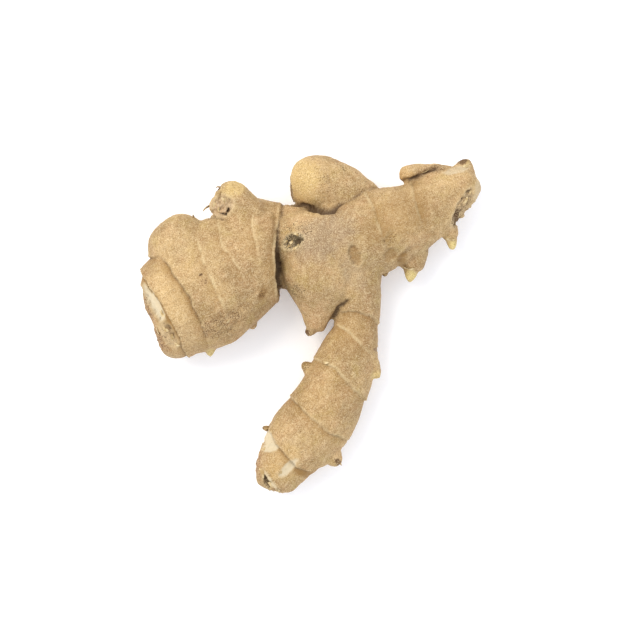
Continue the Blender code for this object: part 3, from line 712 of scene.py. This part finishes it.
def dress_states(skin):
    """Adds the skin's strewn specks and painted dirt and shade in its creases, and keeps every state from 0
    to 1.
    """
    states = skin.states
    scattered = specks(skin.points, 5.5, 0.75, 801) * smoothstep(-0.1, 0.5, lumps(skin.points, 13, 810))
    states["cork"] += 0.55 * scattered
    # Painted shade and dirt: points lying below what their surroundings average to are darkened, like ambient
    # occlusion.
    crease = skin.hollowness(26)
    states["hollow"] += smoothstep(0.35, 1.5, crease)
    states["hollow"] += 0.35 * smoothstep(0.05, 0.22, skin.hollowness(2))
    for name, values in states.items():
        if name != "fibre":
            states[name] = np.clip(values, 0, 1)


# ---------------------------------------------------------------- materials


def node(tree, kind, links=None, **settings):
    """Adds a node. A setting is a property or, with an underscore and its number, a socket's value."""
    made = tree.nodes.new(kind)
    for name, value in settings.items():
        if name.startswith("_"):
            made.inputs[int(name[1:])].default_value = value
        else:
            setattr(made, name, value)
    for place, socket in (links or {}).items():
        tree.links.new(socket, made.inputs[place])
    return made


def noise(tree, place, width, detail, roughness=0.5):
    """Noise whose lumps are about width millimetres wide."""
    made = node(tree, "ShaderNodeTexNoise", {0: place}, _2=1 / (width * MM), _3=detail, _4=roughness)
    return made.outputs[0]


def two_shades(tree, share, dark, light):
    mixed = node(
        tree, "ShaderNodeMix", {0: share}, data_type="RGBA", _6=linear(dark), _7=linear(light),
    )
    return mixed.outputs[2]


def laid_over(tree, below, share, colour):
    """Lays a colour over what is below it, by a share from 0 to 1."""
    mixed = node(tree, "ShaderNodeMix", {0: share, 6: below}, data_type="RGBA", _7=linear(colour))
    return mixed.outputs[2]


def scaled(tree, value, low, high):
    """Takes a value from low..high to 0..1, smoothly."""
    ranged = node(tree, "ShaderNodeMapRange", {0: value}, interpolation_type="SMOOTHSTEP", _1=low, _2=high)
    return ranged.outputs[0]


def times(tree, value, strength):
    return node(tree, "ShaderNodeMath", {0: value}, operation="MULTIPLY", _1=strength).outputs[0]


def state(tree, name, strength=1.0):
    """A state that the shaping left on the points, times a strength and kept from 0 to 1."""
    value = node(tree, "ShaderNodeAttribute", attribute_name=name).outputs["Fac"]
    kept = node(tree, "ShaderNodeMath", {0: value}, operation="MULTIPLY", use_clamp=True, _1=strength)
    return kept.outputs[0]


def strewn(tree, coverage, pattern, softness):
    """Breaks a state up into flecks, where the pattern is higher than what the state leaves clear."""
    clear = node(tree, "ShaderNodeMath", {0: coverage}, operation="MULTIPLY_ADD", _1=-0.5, _2=0.78).outputs[0]
    over = node(tree, "ShaderNodeMath", {0: pattern, 1: clear}, operation="SUBTRACT").outputs[0]
    return scaled(tree, over, -softness, softness)


def rhizome_skin(settings):
    """Fresh ginger's skin: a thin, dry, fibrous cork over pale yellow flesh, matte, tan where it is old and
    yellow where it is young, with paper-pale rings, brown rough cork at old wounds and cream flesh at torn
    ones."""
    material = bpy.data.materials.new("rhizome_skin")
    material.use_nodes = True
    tree = material.node_tree
    surface = tree.nodes["Principled BSDF"]
    place = node(tree, "ShaderNodeTexCoord").outputs["Object"]

    # Slow changes of shade, 16 mm wide, as the cork is thicker in some places than in others.
    slow = noise(tree, place, 16, 3.0)
    colour = two_shades(tree, scaled(tree, slow, 0.32, 0.66), settings.skin_dark, settings.skin_light)
    # Patches 6 mm wide lean to rose or to olive, and a mottle 2.2 mm wide goes paler and browner.
    patches = noise(tree, place, 6, 2.0)
    mottle = noise(tree, place, 2.2, 2.0, 0.6)
    for pattern, clear, full, strength, tint in (
        (patches, 0.5, 0.7, 0.28, "#B78A60"), (patches, 0.48, 0.3, 0.4, "#AC914F"),
        (mottle, 0.5, 0.72, 0.4, "#86673A"), (mottle, 0.48, 0.3, 0.4, "#CDB080"),
    ):
        colour = laid_over(tree, colour, times(tree, scaled(tree, pattern, clear, full), strength), tint)
    for name, strength, tint in (
        ("gold", 0.85, settings.young_skin), ("bloom", 0.75, "#957C5F"), ("rose", 0.5, "#B4855C"),
        ("light", 0.8, "#D0B07D"), ("sprout", 0.85, "#DCC67E"),
    ):
        colour = laid_over(tree, colour, state(tree, name, strength), tint)

    # Fibres are darker in between and paler on the strands. The dry cork has a grain of its own: flecks
    # 0.6 mm wide, and dust 0.35 mm wide.
    fibre = node(tree, "ShaderNodeAttribute", attribute_name="fibre").outputs["Fac"]
    flecks = noise(tree, place, 0.6, 2.0, 0.7)
    dust = noise(tree, place, 0.35, 1.0)
    for pattern, clear, full, strength, tint in (
        (fibre, -0.05, -0.9, 0.3, "#816136"), (fibre, 0.1, 0.95, 0.3, "#D0B68B"),
        (flecks, 0.5, 0.7, 0.28, "#6C4D26"), (flecks, 0.48, 0.3, 0.28, "#DAC59C"),
        (dust, 0.5, 0.72, 0.5, "#674721"), (dust, 0.48, 0.28, 0.45, "#E4D0A7"),
    ):
        colour = laid_over(tree, colour, times(tree, scaled(tree, pattern, clear, full), strength), tint)

    # Painted shade: a dark tan beyond ring grooves, in dents and clefts and under overhangs; some broad
    # patches use it only for a darker tan skin.
    colour = laid_over(tree, colour, state(tree, "shade", 0.85), "#8C6730")
    colour = laid_over(tree, colour, state(tree, "pale", 0.85), "#D8C192")
    colour = laid_over(tree, colour, state(tree, "flesh", 0.97), "#CCBB99")
    for name, softness, strength, tint in (("moss", 0.08, 0.88, "#45391F"), ("cork", 0.07, 0.85, "#492F16")):
        flecked = strewn(tree, state(tree, name), dust, softness)
        colour = laid_over(tree, colour, times(tree, flecked, strength), tint)
    colour = laid_over(tree, colour, state(tree, "cork", 0.35), "#72502C")
    # Painted shade and dirt: dark brown wherever the shaping left hollow, in creases, grooves, clefts and
    # holes.
    colour = laid_over(tree, colour, state(tree, "hollow", 0.88), "#4A331C")
    tree.links.new(colour, surface.inputs["Base Color"])

    roughness = node(tree, "ShaderNodeMapRange", {0: flecks}, _1=0.3, _2=0.7, _3=0.62, _4=0.8).outputs[0]
    tree.links.new(roughness, surface.inputs["Roughness"])
    surface.inputs["IOR"].default_value = 1.42

    # The flecks are also a relief finer than the mesh.
    relief = node(tree, "ShaderNodeBump", {2: flecks}, _0=0.6, _1=0.25 * MM)
    tree.links.new(relief.outputs[0], surface.inputs["Normal"])
    return material


def stained(name, width, dark, light, roughness):
    """A matte finish that goes from a dark shade to a light one in stains of a width in millimetres."""
    material = bpy.data.materials.new(name)
    material.use_nodes = True
    tree = material.node_tree
    surface = tree.nodes["Principled BSDF"]
    stains = noise(tree, node(tree, "ShaderNodeTexCoord").outputs["Object"], width, 2.0)
    colour = two_shades(tree, scaled(tree, stains, 0.35, 0.65), dark, light)
    tree.links.new(colour, surface.inputs["Base Color"])
    surface.inputs["Roughness"].default_value = roughness
    return material


def sheath_paper():
    """Dry leaf sheath: a thin straw-coloured paper, fibrous and matte, browner where it is thick."""
    return stained("sheath_paper", 1.5, "#A88A58", "#D6C193", 0.8)


def dried_rootlet():
    """A dried rootlet: a matte brown thread with a wrinkled skin."""
    return stained("dried_rootlet", 1.0, "#6E5230", "#A98B5A", 0.75)


def sweep_paper():
    """Matt white backdrop paper: even, with no gloss."""
    material = bpy.data.materials.new("sweep_paper")
    material.use_nodes = True
    surface = material.node_tree.nodes["Principled BSDF"]
    surface.inputs["Base Color"].default_value = linear("#F4F3F1")
    surface.inputs["Roughness"].default_value = 0.9
    surface.inputs["Specular IOR Level"].default_value = 0.1
    # A little light comes through the paper from below, as on a light table.
    surface.inputs["Emission Color"].default_value = linear("#FBFBFF")
    surface.inputs["Emission Strength"].default_value = 0.17
    return material


# ---------------------------------------------------------------- what a user can change


class GingerRootSettings(bpy.types.PropertyGroup):
    voxel: bpy.props.FloatProperty(
        name="Skin step", description="Width of the voxels that the lobes are fused with",
        default=0.585 * MM, unit="LENGTH",
    )
    unevenness: bpy.props.FloatProperty(
        name="Unevenness", description="Height in millimetres of the slow swellings", default=0.7,
    )
    ring_strength: bpy.props.FloatProperty(
        name="Ring strength", description="How strongly the leaf-scar rings stand out",
        default=1.0, subtype="FACTOR",
    )
    fibre_depth: bpy.props.FloatProperty(
        name="Fibre depth", description="Height in millimetres of the fibres", default=0.13,
    )
    skin_light: bpy.props.StringProperty(
        name="Light skin", description="Colour of thin skin, as sRGB hex", default="#BA9865",
    )
    skin_dark: bpy.props.StringProperty(
        name="Dark skin", description="Colour of thick skin, as sRGB hex", default="#9B7C4F",
    )
    young_skin: bpy.props.StringProperty(
        name="Young skin", description="Colour of young lobes' ends and buds, as sRGB hex", default="#C19B5F",
    )


class GingerScrapsSettings(bpy.types.PropertyGroup):
    curl: bpy.props.FloatProperty(
        name="Curl", description="How strongly the papery scales curl up", default=1.0, subtype="FACTOR",
    )


class GingerStageSettings(bpy.types.PropertyGroup):
    floor_width: bpy.props.FloatProperty(
        name="Floor width", description="Width of the backdrop", default=12.0, unit="LENGTH",
    )
    camera_height: bpy.props.FloatProperty(
        name="Camera height", description="Height of the camera over the table", default=1.0, unit="LENGTH",
    )


# ---------------------------------------------------------------- operators


class GINGER_OT_grow_root(bpy.types.Operator):
    """Grows the whole root as one skin, with its rings, scars, buds and fibres"""

    bl_idname = "ginger.grow_root"
    bl_label = "Grow the root"

    def execute(self, context):
        settings = context.scene.ginger_root
        root = fuse_lobes("ginger_skin", settings.voxel)
        skin = Skin(root.data)
        readings = {name: lobe_reading(skin.points, *shape) for name, shape in LOBES.items()}
        swell(skin, settings.unevenness)
        mark_rings(skin, readings, settings.ring_strength)
        press_creases(skin)
        mark_blemishes(skin)
        draw_fibres(skin, readings, settings.fibre_depth)
        dress_states(skin)
        skin.store()
        clear_selection()
        root.select_set(True)
        bpy.context.view_layer.objects.active = root
        bpy.ops.object.shade_smooth()
        root.data.materials.clear()
        root.data.materials.append(rhizome_skin(settings))
        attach(root, BODY)
        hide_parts(ROOT_NODE)
        return {"FINISHED"}


class GINGER_OT_stick_scales(bpy.types.Operator):
    """Sticks the papery scraps of leaf sheath on the root's scars, buds and rings"""

    bl_idname = "ginger.stick_scales"
    bl_label = "Stick the papery scales"

    def execute(self, context):
        root = bpy.data.objects["ginger_skin"]
        lift = context.scene.ginger_scraps.curl
        scales = [
            model_scale(name, root, at, length, width, turn, lift * curl)
            for name, (at, length, width, turn, curl) in SCALES.items()
        ]
        piece = join_all(scales, "papery_scales")
        piece.data.materials.append(sheath_paper())
        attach(piece, BODY)
        return {"FINISHED"}


class GINGER_OT_grow_rootlets(bpy.types.Operator):
    """Grows the dried stubs of thin roots"""

    bl_idname = "ginger.grow_rootlets"
    bl_label = "Grow the rootlets"

    def execute(self, context):
        stubs = []
        for name, shape in ROOTLETS.items():
            stub = model_lobe(name, *shape)
            rounding = stub.modifiers.new("rounding", "SUBSURF")
            rounding.levels = rounding.render_levels = 2
            apply_all(stub)
            stubs.append(stub)
        piece = join_all(stubs, "rootlet_stubs")
        piece.data.materials.append(dried_rootlet())
        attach(piece, BODY)
        return {"FINISHED"}


def add_softbox(name, place, aim, width, power):
    bpy.ops.object.light_add(type="AREA", location=place)
    light = bpy.context.object
    light.name = name
    light.data.shape = "DISK"
    light.data.size = width
    light.data.energy = power
    light.data.color = linear("#FFF8EC")[:3]
    light.rotation_euler = (Vector(aim) - Vector(place)).to_track_quat("-Z", "Y").to_euler()


class GINGER_OT_set_stage(bpy.types.Operator):
    """Lays the pale floor and sets the soft lights and the camera straight above"""

    bl_idname = "ginger.set_stage"
    bl_label = "Set the stage"

    def execute(self, context):
        settings = context.scene.ginger_stage
        clear_selection()
        bpy.ops.mesh.primitive_plane_add(size=settings.floor_width, location=(0, 0, -FLOOR_GAP))
        floor = context.object
        floor.name = "floor"
        floor.data.materials.append(sweep_paper())

        add_softbox("window", place=WINDOW_PLACE, aim=(0, 0, 0), width=0.9, power=14)

        world = bpy.data.worlds.new("studio")
        context.scene.world = world
        world.use_nodes = True
        world.node_tree.nodes["Background"].inputs[0].default_value = linear("#F0F5FF")
        world.node_tree.nodes["Background"].inputs[1].default_value = 1.25

        bpy.ops.object.camera_add(location=(*CAMERA_ABOVE, settings.camera_height), rotation=(0, 0, 0))
        camera = context.object
        camera.name = "camera"
        camera.data.sensor_width = 36
        camera.data.lens = CAMERA_LENS
        camera.data.clip_end = 50
        context.scene.camera = camera
        context.scene.view_settings.view_transform = "Standard"
        return {"FINISHED"}


class GINGER_PT_panel(bpy.types.Panel):
    bl_label = "Ginger Root"
    bl_idname = "GINGER_PT_panel"
    bl_space_type = "VIEW_3D"
    bl_region_type = "UI"
    bl_category = "Ginger"

    def draw(self, context):
        for group, operator in (
            (context.scene.ginger_root, "ginger.grow_root"),
            (context.scene.ginger_scraps, "ginger.stick_scales"),
            (context.scene.ginger_stage, "ginger.set_stage"),
        ):
            column = self.layout.column()
            for name in group.__annotations__:
                column.prop(group, name)
            column.operator(operator)
        self.layout.operator("ginger.grow_rootlets")


CLASSES = (
    GingerRootSettings,
    GingerScrapsSettings,
    GingerStageSettings,
    GINGER_OT_grow_root,
    GINGER_OT_stick_scales,
    GINGER_OT_grow_rootlets,
    GINGER_OT_set_stage,
    GINGER_PT_panel,
)


def register():
    for cls in CLASSES:
        bpy.utils.register_class(cls)
    bpy.types.Scene.ginger_root = bpy.props.PointerProperty(type=GingerRootSettings)
    bpy.types.Scene.ginger_scraps = bpy.props.PointerProperty(type=GingerScrapsSettings)
    bpy.types.Scene.ginger_stage = bpy.props.PointerProperty(type=GingerStageSettings)


def unregister():
    del bpy.types.Scene.ginger_stage
    del bpy.types.Scene.ginger_scraps
    del bpy.types.Scene.ginger_root
    for cls in reversed(CLASSES):
        bpy.utils.unregister_class(cls)


def main():
    register()
    bpy.ops.ginger.grow_root()
    bpy.ops.ginger.stick_scales()
    bpy.ops.ginger.grow_rootlets()
    bpy.ops.ginger.set_stage()
    bpy.context.view_layer.update()


if __name__ == "__main__":
    main()
